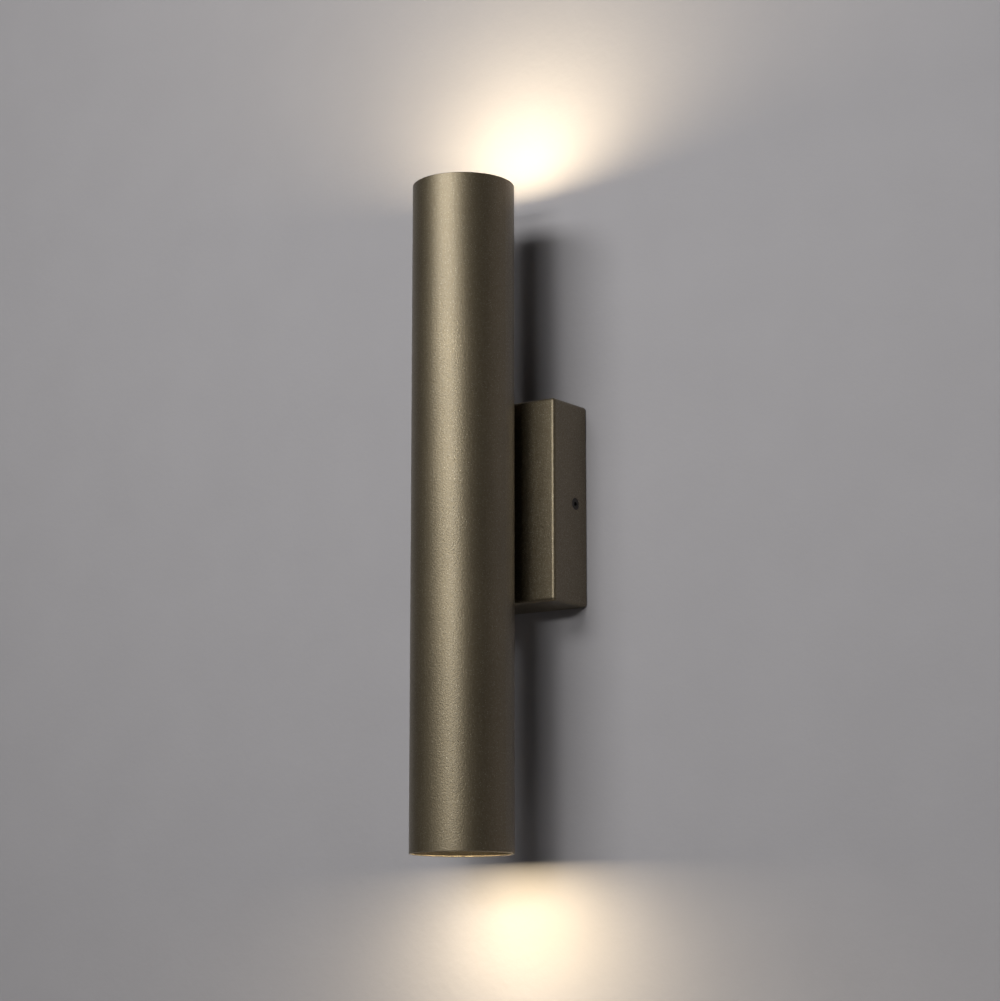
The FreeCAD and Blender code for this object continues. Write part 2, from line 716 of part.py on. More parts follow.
def make_cable_clamp():
    """An arched bar over the supply cable, with its two screws."""
    body = new_body("cable_clamp", ("-clamp_shift", "platform_face", "clamp_lift"))
    section = new_sketch(body, "XY_Plane")
    arch = "(clamp_bore / 2 + clamp_wall)"
    outline(section, [
        ("-clamp_width / 2", "0"),
        ("-clamp_width / 2", "-clamp_wall"),
        (f"-{arch}", "-clamp_wall"),
        ("-clamp_bore / 2", f"-{arch}"),
        ("clamp_bore / 2", f"-{arch}"),
        (arch, "-clamp_wall"),
        ("clamp_width / 2", "-clamp_wall"),
        ("clamp_width / 2", "0"),
    ])
    pad(body, section, "clamp_depth", both_ways=True)
    bore = new_sketch(body, "XY_Plane")
    circle(bore, "clamp_bore / 2")
    pocket(body, bore, both_ways=True)
    holes = new_sketch(body, "XZ_Plane")
    for sign in ("", "-"):
        circle(holes, "small_screw / 2 + fit_gap", sign + "clamp_spacing / 2", "0")
    pocket(body, holes, both_ways=True)
    node("cable_clamp", body)
    screws = [
        screw(
            f"clamp_screw_{count}", "small_screw", "small_length", "small_head", "head_height",
            (f"-clamp_shift {sign} clamp_spacing / 2", "platform_face - clamp_wall", "clamp_lift"), "+y",
        )
        for count, sign in enumerate("+-")
    ]
    node("cable_clamp_screws", group("clamp_screw_pair", screws))


def make_terminal():
    """A three-pole terminal block with brass inserts, clamp screws and fixing screws."""
    levels = [f"terminal_lift + {pole} * pole_pitch" for pole in POLES.values()]
    columns = ("rib_spacing / 2", "-rib_spacing / 2")
    ledges = ("terminal_lift + ledge_screw", "terminal_lift - ledge_screw")
    body = new_body("terminal_body")
    slab = new_sketch(body, "XZ_Plane", "-platform_face")
    rectangle(slab, "terminal_depth", "3 * pole_pitch", ("0", "terminal_lift"))
    pad(body, slab, "terminal_height")
    feet = new_sketch(body, "XZ_Plane", "-platform_face")
    rectangle(feet, "ledge_width", "3 * pole_pitch + 2 * ledge_length", ("0", "terminal_lift"))
    pad(body, feet, "ledge_thickness")
    ribs = new_sketch(body, "XZ_Plane", "-platform_face + terminal_height")
    for column in columns:
        rectangle(ribs, "rib_width", "3 * pole_pitch", (column, "terminal_lift"))
    pad(body, ribs, "rib_height")
    ways = new_sketch(body, "YZ_Plane")
    for level in levels:
        rectangle(ways, "pole_bore", "pole_bore", ("pole_axis", level))
    pocket(body, ways, both_ways=True)
    wells = new_sketch(body, "XZ_Plane", "-rib_top")
    for level in levels:
        for column in columns:
            circle(wells, "small_screw / 2 + 3 * fit_gap", column, level)
    pocket(body, wells, "pole_axis - rib_top")
    fixings = new_sketch(body, "XZ_Plane")
    for ledge in ledges:
        circle(fixings, "small_screw / 2 + fit_gap", "0", ledge)
    pocket(body, fixings, forward=True)
    node("terminal_body", body)

    inserts = []
    clamps = []
    for name, level in zip(POLES, levels):
        middle = ("0", "pole_axis", level)
        bar = block(f"{name}_insert_bar", ("insert_length", "insert_side", "insert_side"), middle)
        tools = [block(f"{name}_wire_way", ("insert_length", "insert_bore", "insert_bore"), middle)]
        for count, column in enumerate(columns):
            tools.append(cylinder(
                f"{name}_thread_{count}", "small_screw / 2", "insert_side",
                (column, "pole_axis", level), "-y",
            ))
            clamps.append(cylinder(
                f"{name}_clamp_screw_{count}", "small_screw / 2 - fit_gap / 2",
                "insert_side / 2 + terminal_height / 4 + head_height",
                (column, "pole_axis - insert_bore / 4", level), "-y",
            ))
        inserts.append(cut(f"{name}_insert", bar, tools))
    node("terminal_inserts", group("insert_set", inserts))
    node("terminal_screws", group("clamp_screw_set", clamps))
    fixing_screws = [
        screw(
            f"terminal_fixing_{count}", "small_screw", "small_length", "small_head", "head_height",
            ("0", "platform_face - ledge_thickness", ledge), "+y",
        )
        for count, ledge in enumerate(ledges)
    ]
    node("terminal_fixing_screws", group("terminal_fixing_pair", fixing_screws))


def make_earth_parts():
    """The earth screw with its washer and ring tag on the bracket, and the tag under the nipple nut."""
    at = ("earth_shift", "platform_face", "-earth_drop")
    crimp = "crimp_diameter / 2"
    bore = "lead_diameter / 2 + fit_gap / 2"
    flat = f"{at[1]} - tag_thickness"
    start = f"{at[2]} + tag_diameter / 2 + tag_tail"
    ring = fused("bracket_tag_solid", [
        cylinder("bracket_tag_ring", "tag_diameter / 2", "tag_thickness", at, "-y"),
        block(
            "bracket_tag_tail", ("crimp_diameter", "tag_thickness", "tag_diameter / 2 + tag_tail"),
            (at[0], f"{at[1]} - tag_thickness / 2", f"{at[2]} + (tag_diameter / 2 + tag_tail) / 2"),
        ),
        cylinder("bracket_tag_crimp", crimp, "crimp_length", (at[0], f"platform_face - {crimp}", start)),
    ])
    node("bracket_earth_tag", cut("bracket_tag", ring, [
        cylinder("bracket_tag_hole", "earth_screw / 2 + fit_gap", "tag_thickness", at, "-y"),
        cylinder("bracket_tag_bore", bore, "crimp_length", (at[0], f"platform_face - {crimp}", start)),
    ]))
    washer_at = (at[0], flat, at[2])
    node("bracket_earth_washer", cut(
        "earth_washer_part",
        cylinder("earth_washer_disc", "tag_diameter / 2", "tag_thickness", washer_at, "-y"),
        [cylinder("earth_washer_hole", "earth_screw / 2 + fit_gap", "tag_thickness", washer_at, "-y")],
    ))
    node("bracket_earth_screw", screw(
        "earth_screw_part", "earth_screw", "small_length", "earth_head", "head_height",
        (at[0], "earth_top", at[2]), "+y",
    ))
    tail = "washer_diameter / 2 + tag_tail"
    level = "box_inside + tag_thickness / 2"
    crimp_at = (tail, f"box_inside + {crimp}", "0")
    big_ring = fused("body_tag_solid", [
        cylinder("body_tag_ring", "washer_diameter / 2", "tag_thickness", ("0", "box_inside", "0"), "+y"),
        block("body_tag_tail", (tail, "tag_thickness", "crimp_diameter"), (f"({tail}) / 2", level, "0")),
        cylinder("body_tag_crimp", crimp, "crimp_length", crimp_at, "+x"),
    ])
    node("body_earth_tag", cut("body_tag", big_ring, [
        cylinder(
            "body_tag_hole", "nipple_diameter / 2 + fit_gap", "tag_thickness", ("0", "box_inside", "0"), "+y"
        ),
        cylinder("body_tag_bore", bore, "crimp_length", crimp_at, "+x"),
    ]))


# ---- lamp carrier, lampholders and lamps ----


def make_carrier():
    """Folded sheet along the back of the tube, with a round tab at each end for a lampholder."""
    body = new_body("lamp_carrier")
    strip = new_sketch(body, "YZ_Plane")
    outline(strip, [
        ("carrier_back", "lower_tab"),
        ("carrier_back", "upper_tab"),
        ("tube_axis", "upper_tab"),
        ("tube_axis", "upper_tab - carrier_sheet"),
        ("carrier_face", "upper_tab - carrier_sheet"),
        ("carrier_face", "lower_tab + carrier_sheet"),
        ("tube_axis", "lower_tab + carrier_sheet"),
        ("tube_axis", "lower_tab"),
    ])
    pad(body, strip, "carrier_width", both_ways=True)

    def outer_fold(middle, direction):
        return near(middle.y, "carrier_back") and abs(direction.x) > 0.9

    def inner_fold(middle, direction):
        return near(middle.y, "carrier_face") and abs(direction.x) > 0.9

    finish_edges(body, "Fillet", "bend_inside + carrier_sheet", outer_fold)
    finish_edges(body, "Fillet", "bend_inside", inner_fold)
    for level in ("lower_tab", "upper_tab - carrier_sheet"):
        tab = new_sketch(body, "XY_Plane", level)
        circle(tab, "tab_diameter / 2", "0", "tube_axis")
        pad(body, tab, "carrier_sheet")
    flanges = new_sketch(body, "XY_Plane", "lower_tab + flange_relief")
    depth = "(carrier_back - carrier_flange / 2)"
    for sign in ("", "-"):
        middle = f"{sign}(carrier_width - carrier_sheet) / 2"
        rectangle(flanges, "carrier_sheet", "carrier_flange", (middle, depth))
    pad(body, flanges, "upper_tab - lower_tab - 2 * flange_relief")
    holes = new_sketch(body, "XY_Plane")
    circle(holes, "tab_hole / 2", "0", "tube_axis")
    for sign in ("", "-"):
        circle(holes, "small_screw / 2 + fit_gap", sign + "holder_spacing / 2", "tube_axis")
    pocket(body, holes, both_ways=True)
    way = new_sketch(body, "XZ_Plane")
    circle(way, "nipple_diameter / 2 + fit_gap")
    pocket(body, way, both_ways=True)
    node("lamp_carrier", body)


def stand(item, side):
    """Moves a piece of a lamp or its holder from the seat plane it is drawn on to its end of the tube."""
    place(item, ("0", "tube_axis", side + "_seat"), FACING[side])
    return item


def cut_flats(body):
    """Cuts the two flats into the round outline of a lampholder's body or cap."""
    flats = new_sketch(body, "XY_Plane")
    margin = "(holder_diameter - holder_flats)"
    for sign in ("", "-"):
        rectangle(flats, "2 * holder_diameter", margin, ("0", f"{sign}(holder_flats + {margin}) / 2"))
    pocket(body, flats)


def make_holder(side):
    """A twist-lock lampholder: keyholes in its top plate open into chambers where the pin heads turn."""
    name = side + "_holder"
    body = new_body(name + "_body")
    drum = new_sketch(body, "XY_Plane", "-seat_gap")
    circle(drum, "holder_diameter / 2")
    pad(body, drum, "holder_height", backward=True)
    cut_flats(body)
    slot = "pin_shank + 2 * seat_gap"
    chamber = "pin_head + 3 * seat_gap"
    free_x = "pin_radius * cos(twist_angle)"
    free_y = "pin_radius * sin(twist_angle)"
    cuts = []
    top_arc = new_sketch(body, "XZ_Plane")
    rectangle(top_arc, slot, "2 * holder_plate", ("pin_radius", "-holder_plate"))
    cuts.append(groove(body, top_arc, angle="twist_angle"))
    low_arc = new_sketch(body, "XZ_Plane")
    low = "holder_height - holder_plate"
    rectangle(low_arc, chamber, low, ("pin_radius", "(plate_back + holder_back) / 2"))
    cuts.append(groove(body, low_arc, angle="twist_angle"))
    locked = new_sketch(body, "XY_Plane")
    circle(locked, f"({slot}) / 2", "pin_radius", "0")
    cuts.append(pocket(body, locked))
    free = new_sketch(body, "XY_Plane")
    circle(free, f"({chamber}) / 2", free_x, free_y)
    cuts.append(pocket(body, free))
    ends = new_sketch(body, "XY_Plane", "plate_back")
    circle(ends, f"({chamber}) / 2", "pin_radius", "0")
    cuts.append(pocket(body, ends, low))
    round_pattern(body, cuts, "2")
    holes = new_sketch(body, "XY_Plane")
    for sign in ("", "-"):
        circle(holes, "small_screw / 2 + fit_gap", sign + "holder_spacing / 2", "0")
    pocket(body, holes)
    sinks = new_sketch(body, "XY_Plane", "-seat_gap")
    for sign in ("", "-"):
        circle(sinks, "small_head / 2 + 2 * fit_gap", sign + "holder_spacing / 2", "0")
    pocket(body, sinks, "head_height + seat_gap")
    node(name + "_body", stand(body, side))

    node(name + "_cap", stand(make_holder_cap(name), side))
    contacts = [make_contact(f"{name}_contact_{count}", turn) for count, turn in enumerate((0, 180))]
    node(name + "_contacts", stand(group(name + "_contact_pair", contacts), side))


def make_holder_fasteners():
    """Two screws and two nuts for each lampholder, all alike and so in one file of each kind."""
    screws = []
    nuts = []
    reach = "holder_height + cap_thickness + carrier_sheet + head_height"
    for side in SIDES:
        side_screws = []
        side_nuts = []
        for count, sign in enumerate(("", "-")):
            name = f"{side}_holder_{count}"
            across = sign + "holder_spacing / 2"
            seat = (across, "0", "-(2 * seat_gap + head_height)")
            side_screws.append(
                screw(name + "_screw", "small_screw", reach, "small_head", "head_height", seat, "-z")
            )
            under = (across, "0", "-(stack_height + carrier_sheet)")
            prism = hexagon(name + "_nut_prism", "small_head", "head_height", under, "-z")
            hole = cylinder(name + "_nut_hole", "small_screw / 2", "head_height", under, "-z")
            side_nuts.append(cut(name + "_nut", prism, [hole]))
        screws.append(stand(group(side + "_holder_screw_pair", side_screws), side))
        nuts.append(stand(group(side + "_holder_nut_pair", side_nuts), side))
    node("holder_screws", group("holder_screw_set", screws))
    node("holder_nuts", group("holder_nut_set", nuts))


def make_holder_cap(name):
    """The flat cap that closes the chambers, with holes for the crimps and the screws."""
    body = new_body(name + "_cap")
    drum = new_sketch(body, "XY_Plane", "holder_back")
    circle(drum, "holder_diameter / 2")
    pad(body, drum, "cap_thickness", backward=True)
    cut_flats(body)
    holes = new_sketch(body, "XY_Plane")
    for sign in ("", "-"):
        circle(holes, "crimp_diameter / 2 + fit_gap", sign + "pin_radius", "0")
        circle(holes, "small_screw / 2 + fit_gap", sign + "holder_spacing / 2", "0")
    pocket(body, holes)
    return body


def make_contact(name, turn):
    """A contact spring: a leaf under the pin, a leg down its chamber, a foot on the cap and a crimp."""
    leg = "contact_top - holder_back"
    middle = "pin_radius + (contact_width - contact_sheet) / 2"
    solid = fused(name + "_solid", [
        block(
            name + "_leaf", ("contact_width", "contact_width", "contact_sheet"),
            ("pin_radius", "0", "contact_top - contact_sheet / 2"),
        ),
        block(
            name + "_leg", ("contact_sheet", "contact_width / 2", leg),
            (middle, "0", f"holder_back + ({leg}) / 2"),
        ),
        block(
            name + "_foot", ("contact_width", "contact_width", "contact_sheet"),
            ("pin_radius", "0", "holder_back + contact_sheet / 2"),
        ),
        cylinder(
            name + "_crimp", "crimp_diameter / 2", "cap_thickness + crimp_length",
            ("pin_radius", "0", "holder_back"), "-z",
        ),
    ])
    bore = cylinder(
        name + "_bore", "lead_diameter / 2 + fit_gap / 2", "crimp_length",
        ("pin_radius", "0", "holder_back - cap_thickness - crimp_length"),
    )
    contact = cut(name, solid, [bore])
    contact.Placement = FreeCAD.Placement(
        FreeCAD.Vector(), FreeCAD.Rotation(FreeCAD.Vector(0, 0, 1), turn)
    )
    return contact


def make_lamp(side):
    """A reflector lamp, drawn with its seat on the XY plane and its face up."""
    name = side + "_lamp"
    base = cylinder(name + "_base_disc", "base_diameter / 2", "base_height")
    roots = [
        cylinder(
            f"{name}_root_{count}", "pin_shank / 2 + fit_gap / 2", "pin_root + fit_gap",
            (sign + "pin_radius", "0", "0"),
        )
        for count, sign in enumerate(("", "-"))
    ]
    node(name + "_base", stand(cut(name + "_base_part", base, roots), side))

    pins = []
    for count, sign in enumerate(("", "-")):
        pins.append(fused(f"{name}_pin_{count}", [
            cylinder(
                f"{name}_pin_shank_{count}", "pin_shank / 2", "pin_root + pin_length",
                (sign + "pin_radius", "0", "-pin_length"),
            ),
            cylinder(
                f"{name}_pin_head_{count}", "pin_head / 2", "pin_head_length",
                (sign + "pin_radius", "0", "-pin_length"),
            ),
        ]))
    node(name + "_pins", stand(group(name + "_pin_pair", pins), side))
    node(name + "_housing", stand(make_housing(name), side))

    discs = (
        ("board", "lens_radius - ledge_inset - seat_gap", "board_thickness", "board_level"),
        ("emitter", "emitter_diameter / 2", "emitter_height", "board_level + board_thickness"),
        ("lens", "lens_radius - fit_gap", "lens_thickness", "ledge_level"),
    )
    for kind, radius, thickness, level in discs:
        # A group moves to the lamp's place as a whole, so the disc inside it keeps its own level.
        disc = cylinder(f"{name}_{kind}_disc", radius, thickness, ("0", "0", level))
        node(f"{name}_{kind}", stand(group(f"{name}_{kind}_part", [disc]), side))


def make_housing(name):
    """The lamp's tapered housing, hollow for board and lens, with slots between its cooling fins."""
    body = new_body(name + "_housing")
    section = new_sketch(body, "XZ_Plane")
    well = "lens_radius - ledge_inset"
    neck = "base_diameter / 2"
    rim = "lamp_diameter / 2"
    bevel = "rim_width / 4"
    outline(section, [
        ("0", "base_height"),
        (neck, "base_height"),
        (neck, "neck_level"),
        (rim, "rim_level"),
        (rim, f"lamp_length - {bevel}"),
        (f"{rim} - {bevel}", "lamp_length"),
        ("lens_radius", "lamp_length"),
        ("lens_radius", "ledge_level"),
        (well, "ledge_level"),
        (well, "board_level"),
        ("0", "board_level"),
    ])
    revolve(body, section)
    fin = new_sketch(body, "XZ_Plane")
    slope = f"({rim} - {neck}) / (rim_level - neck_level)"
    low = "neck_level + fin_margin"
    high = "rim_level - fin_margin / 3"
    outline(fin, [
        (f"{neck} + fin_margin * {slope} - fin_depth", low),
        ("lamp_diameter", low),
        ("lamp_diameter", high),
        (f"{neck} + ({high} - neck_level) * {slope} - fin_depth", high),
    ])
    slot = pocket(body, fin, "fin_slot", both_ways=True)
    round_pattern(body, [slot], "fin_count")
    return body


# ---- internal leads ----


def lead(name, route):
    """A lead along straight runs, joined by arcs as large as the runs allow."""
    corners = [FreeCAD.Vector(*map(number, point)) for point in route]
    runs = [end - start for start, end in zip(corners, corners[1:])]
    widest = number("lead_bend")
    edges = []
    radii = []
    at = corners[0]
    for corner, run, following in zip(corners[1:], runs, runs[1:]):
        turn = run.getAngle(following)
        shorter = min(run.Length, following.Length)
        radius = min(0.45 * shorter / math.tan(turn / 2), widest)
        reach = radius * math.tan(turn / 2)
        before = FreeCAD.Vector(run).normalize()
        after = FreeCAD.Vector(following).normalize()
        start = corner - before * reach
        end = corner + after * reach
        inward = (after - before).normalize()
        middle = corner + inward * (radius / math.cos(turn / 2) - radius)
        edges.append(Part.LineSegment(at, start).toShape())
        edges.append(Part.Arc(start, middle, end).toShape())
        radii.append(radius)
        at = end
    edges.append(Part.LineSegment(at, corners[-1]).toShape())
    path = Part.Wire(edges)
    thickness = number("lead_diameter")
    facing = FreeCAD.Rotation(FreeCAD.Vector(0, 0, 1), runs[0])
    ring = []
    for side in range(LEAD_SIDES + 1):
        angle = 2 * math.pi * side / LEAD_SIDES
        spoke = FreeCAD.Vector(math.cos(angle), math.sin(angle), 0) * (thickness / 2)
        ring.append(corners[0] + facing.multVec(spoke))
    section = Part.makePolygon(ring)
    solid = path.makePipeShell([section], True, False)
    wanted = path.Length * Part.Face(section).Area
    if abs(solid.Volume / wanted - 1) > 0.01:
        raise RuntimeError(f"{name} is not a whole tube")
    item = doc.addObject("Part::Feature", name)
    item.Shape = solid
    item.Placement = FreeCAD.Placement()
    tightest = min(radii)
    ratio = tightest / thickness
    print(f"{name}: length {path.Length:.0f} mm, tightest arc {tightest:.1f} mm ({ratio:.1f} diameters)")
    node(name, item)


def make_lamp_leads():
    """Live and neutral from each lampholder through the nipple to the terminal block."""
    half = "lead_spacing / 2"
    for kind, sign in (("live", "-"), ("neutral", "")):
        # The live leads turn nearer to the bracket than the neutral ones, and so further right.
        depth = f"platform_face - {kind}_height"
        level = f"terminal_lift + {POLES[kind]} * pole_pitch"
        for side, up, down in (("upper", "", "-"), ("lower", "-", "+")):
            top = f"{side}_tab {down} (crimp_length - crimp_grip)"
            right = f"{kind}_shift {down} {half}"
            into = f"pole_axis {down} lead_beside"
            lead(f"{side}_{kind}_lead", [
                (f"{sign}pin_radius", "tube_axis", top),
                (f"{sign}pin_radius", "tube_axis", f"{top} {down} lead_drop"),
                (f"{sign}pin_radius / 2", "tube_axis + lead_slack", f"{top} {down} lead_gather"),
                (f"{sign}{half}", "nipple_inner - lead_turn", f"{up}{half}"),
                (f"{sign}{half}", depth, f"{up}{half}"),
                (right, depth, f"{up}{half}"),
                (right, into, level),
                ("lead_end", into, level),
            ])


def make_earth_leads():
    """Earth leads from the terminal block to the tag on the bracket and to the tag under the nipple nut."""
    level = "terminal_lift"
    low = "platform_face - crimp_diameter / 2"
    tag = "(tag_diameter / 2 + tag_tail + crimp_grip - earth_drop)"
    lead("bracket_earth_lead", [
        ("earth_shift", low, tag),
        ("earth_shift", low, f"{tag} + ({level} - {tag}) / 3"),
        ("earth_shift - crimp_grip", f"{low} - crimp_grip / 2", f"{tag} + ({level} - {tag}) * 4 / 5"),
        ("earth_shift - tag_tail", "pole_axis + lead_beside", level),
        ("lead_end", "pole_axis + lead_beside", level),
    ])
    crimp = "(washer_diameter / 2 + tag_tail + crimp_grip)"
    face = "(box_inside + crimp_diameter / 2)"
    end = "(pole_axis - lead_beside)"
    lead("body_earth_lead", [
        (crimp, face, "0"),
        (f"{crimp} + earth_loop * 4 / 5", face, "0"),
        (f"{crimp} + earth_loop", f"{face} + ({end} - {face}) / 4", f"{level} * 2 / 3"),
        (f"{crimp} + earth_loop * 2 / 3", f"{face} + ({end} - {face}) * 2 / 3", level),
        ("lead_end + earth_loop / 2", end, level),
        ("lead_end", end, level),
    ])


# ---- checks and files ----


def check(item):
    bad = [state for state in item.State if state in ("Invalid", "Error")]
    if bad:
        raise RuntimeError(f"{item.Name} is {', '.join(bad)}")


def write_files():
    doc.recompute()
    for item in doc.Objects:
        check(item)
    for name, item in nodes.items():
        if item.Shape.isNull() or not item.Shape.isValid():
            raise RuntimeError(f"{name} has no valid shape")
    os.makedirs("parts", exist_ok=True)
    for name, item in nodes.items():
        item.Shape.exportStep(f"parts/{name}.step")
    print(f"{len(nodes)} sub-parts written")


write_sheet()
make_tube()
make_box_cover()
make_side_screws()
make_spacer()
make_nipple()
make_bracket()
make_grommet()
make_cable_clamp()
make_terminal()
make_earth_parts()
make_carrier()
for side in SIDES:
    make_holder(side)
    make_lamp(side)
make_holder_fasteners()
make_lamp_leads()
make_earth_leads()
write_files()
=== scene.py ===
import json
import math

import bmesh
import bpy
from mathutils import Matrix, Vector


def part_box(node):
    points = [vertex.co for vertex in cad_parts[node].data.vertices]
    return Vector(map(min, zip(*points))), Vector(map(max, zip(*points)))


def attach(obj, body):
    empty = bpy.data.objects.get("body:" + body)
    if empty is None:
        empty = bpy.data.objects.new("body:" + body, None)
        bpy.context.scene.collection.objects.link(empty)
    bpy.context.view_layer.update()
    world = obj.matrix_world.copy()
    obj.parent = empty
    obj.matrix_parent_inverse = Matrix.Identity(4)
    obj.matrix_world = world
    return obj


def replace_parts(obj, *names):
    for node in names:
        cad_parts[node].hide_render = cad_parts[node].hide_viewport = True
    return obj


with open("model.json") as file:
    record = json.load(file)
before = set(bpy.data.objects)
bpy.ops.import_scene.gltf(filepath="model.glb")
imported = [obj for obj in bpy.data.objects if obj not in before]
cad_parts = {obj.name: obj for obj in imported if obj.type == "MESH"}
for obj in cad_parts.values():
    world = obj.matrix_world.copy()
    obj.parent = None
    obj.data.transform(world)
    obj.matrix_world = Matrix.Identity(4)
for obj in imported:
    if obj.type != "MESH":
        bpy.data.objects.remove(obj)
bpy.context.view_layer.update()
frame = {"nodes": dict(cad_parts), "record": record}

# Tube wall light: the finishes of its pieces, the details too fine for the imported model, its own light and
# the wall it hangs on. Metres. The origin is on the wall behind the box, +X is to the right of someone who
# faces the light, +Y goes into the wall and +Z is up.

bl_info = {
    "name": "Tube Wall Light",
    "version": (1, 0, 0),
    "blender": (4, 5, 0),
    "location": "3D View > Sidebar > Wall Light",
    "description": "Finishes, small details, light and wall for the tube wall light",
    "category": "Object",
}

SIDES = ("upper", "lower")
UP = {"upper": 1, "lower": -1}
MM = 0.001

# Pan-head screws: head height, head and thread radii, and the long screws' length under the head. Heads and
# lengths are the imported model's, and the crests of the threads lie 0.05 mm inside its plain shanks.
HEAD_HEIGHT = 2 * MM
SMALL_HEAD = 2.7 * MM
SMALL_SHANK = 1.4 * MM
EARTH_HEAD = 3.8 * MM
EARTH_SHANK = 1.9 * MM
HOLDER_SCREW = 24.5 * MM


# ---- what a user would change ----


def colour_setting(name, description, default):
    return bpy.props.FloatVectorProperty(
        name=name, description=description, default=default, subtype="COLOR", size=3, min=0, max=1
    )


class CoatSettings(bpy.types.PropertyGroup):
    """The powder coat of the tube, the box and the spacer."""

    colour: colour_setting("Coat", "Colour of the powder coat", (0.148, 0.117, 0.072))
    flake: colour_setting("Flake", "Colour of the metal flakes in the coat", (0.5, 0.44, 0.34))
    roughness: bpy.props.FloatProperty(
        name="Roughness", description="How far the coat spreads a reflection", default=0.47,
        min=0, max=1, subtype="FACTOR",
    )
    clear: bpy.props.FloatProperty(
        name="Clear layer", description="Share of the coat that its clear layer covers", default=0.5,
        min=0, max=1, subtype="FACTOR",
    )
    clear_roughness: bpy.props.FloatProperty(
        name="Clear roughness", description="How far the clear layer spreads a reflection", default=0.43,
        min=0, max=1, subtype="FACTOR",
    )
    grain: bpy.props.FloatProperty(
        name="Grain", description="Width of the coat's texture", default=0.0009, unit="LENGTH"
    )
    depth: bpy.props.FloatProperty(
        name="Grain depth", description="Height of the coat's texture", default=0.00016, unit="LENGTH"
    )


class LampSettings(bpy.types.PropertyGroup):
    """The two lamps and the light they give."""

    colour: colour_setting("Light", "Colour of the lamps' light", (1.0, 0.83, 0.54))
    power: bpy.props.FloatProperty(
        name="Power", description="Light from each lamp", default=0.48, min=0, unit="POWER"
    )
    upper_ahead: bpy.props.FloatProperty(
        name="Upper light", description="How far before its lens the upper light starts", default=0.0008,
        unit="LENGTH",
    )
    lower_ahead: bpy.props.FloatProperty(
        name="Lower light", description="How far before its lens the lower light starts", default=0.0065,
        unit="LENGTH",
    )
    glow: bpy.props.FloatProperty(
        name="Lens glow", description="Brightness of the lenses themselves", default=1.1, min=0
    )


class StageSettings(bpy.types.PropertyGroup):
    """The wall, the floor, the studio light and the camera."""

    wall: colour_setting("Wall", "Colour of the wall", (0.335, 0.32, 0.337))
    floor: colour_setting("Floor", "Colour of the floor", (0.72, 0.71, 0.7))
    sky: colour_setting("Room", "Colour of the room's own light", (0.035, 0.035, 0.037))
    key: bpy.props.FloatProperty(
        name="Key light", description="Power of the light level with the tube", default=6, min=0, unit="POWER"
    )
    fill: bpy.props.FloatProperty(
        name="Fill light", description="Power of the soft light from above", default=14.5, min=0, unit="POWER"
    )
    back: bpy.props.FloatProperty(
        name="Back light", description="Power of the light for views from behind", default=30, min=0,
        unit="POWER",
    )
    distance: colour_setting("Distance", "Colour of the room to the camera alone", (0.5, 0.5, 0.51))
    floor_drop: bpy.props.FloatProperty(
        name="Floor", description="How far the floor lies below the light", default=1.1, unit="LENGTH"
    )
    camera_at: bpy.props.FloatVectorProperty(
        name="Camera", description="Place of the camera", default=(0.8884, -1.3335, -0.2952), subtype="XYZ",
        unit="LENGTH",
    )
    camera_yaw: bpy.props.FloatProperty(
        name="Turn", description="Turn of the camera about the vertical", default=math.radians(34.24),
        unit="ROTATION",
    )
    camera_pitch: bpy.props.FloatProperty(
        name="Tilt", description="Tilt of the camera above the level", default=math.radians(10.73),
        unit="ROTATION",
    )
    lens: bpy.props.FloatProperty(
        name="Lens", description="Focal length of the camera in millimetres", default=97.96
    )


# ---- shader expressions ----


class Value:
    """A shader socket that Python's operators extend with Math nodes."""

    def __init__(self, tree, socket):
        self.tree = tree
        self.socket = socket

    def combine(self, operation, first, second):
        return self.tree.add("ShaderNodeMath", {"operation": operation}, {0: first, 1: second})

    def __add__(self, other):
        return self.combine("ADD", self, other)

    __radd__ = __add__

    def __mul__(self, other):
        return self.combine("MULTIPLY", self, other)

    __rmul__ = __mul__

    def __sub__(self, other):
        return self.combine("SUBTRACT", self, other)

    def __rsub__(self, other):
        return self.combine("SUBTRACT", other, self)

    def __gt__(self, other):
        return self.combine("GREATER_THAN", self, other)

    def __lt__(self, other):
        return self.combine("LESS_THAN", self, other)

    def __pow__(self, other):
        return self.combine("POWER", self, other)


class Tree:
    """A node tree in which every node is made, set up and fed in one way."""

    def __init__(self, tree):
        self.nodes = tree.nodes
        self.links = tree.links

    def add(self, kind, settings=None, inputs=None, output=0):
        """Adds a node, sets it up, feeds its sockets and returns one of its outputs."""
        node = self.nodes.new(kind)
        for name, setting in (settings or {}).items():
            setattr(node, name, setting)
        for name, value in (inputs or {}).items():
            self.feed(node.inputs[name], value)
        return Value(self, node.outputs[output])

    def feed(self, socket, value):
        if isinstance(value, Value):
            self.links.new(value.socket, socket)
        elif socket.type == "RGBA" and len(value) == 3:
            socket.default_value = (*value, 1)
        else:
            socket.default_value = value

    def mix(self, factor, low, high):
        """A colour between two others."""
        settings = {"data_type": "RGBA", "clamp_factor": True}
        return self.add("ShaderNodeMix", settings, {"Factor": factor, 6: low, 7: high}, output=2)


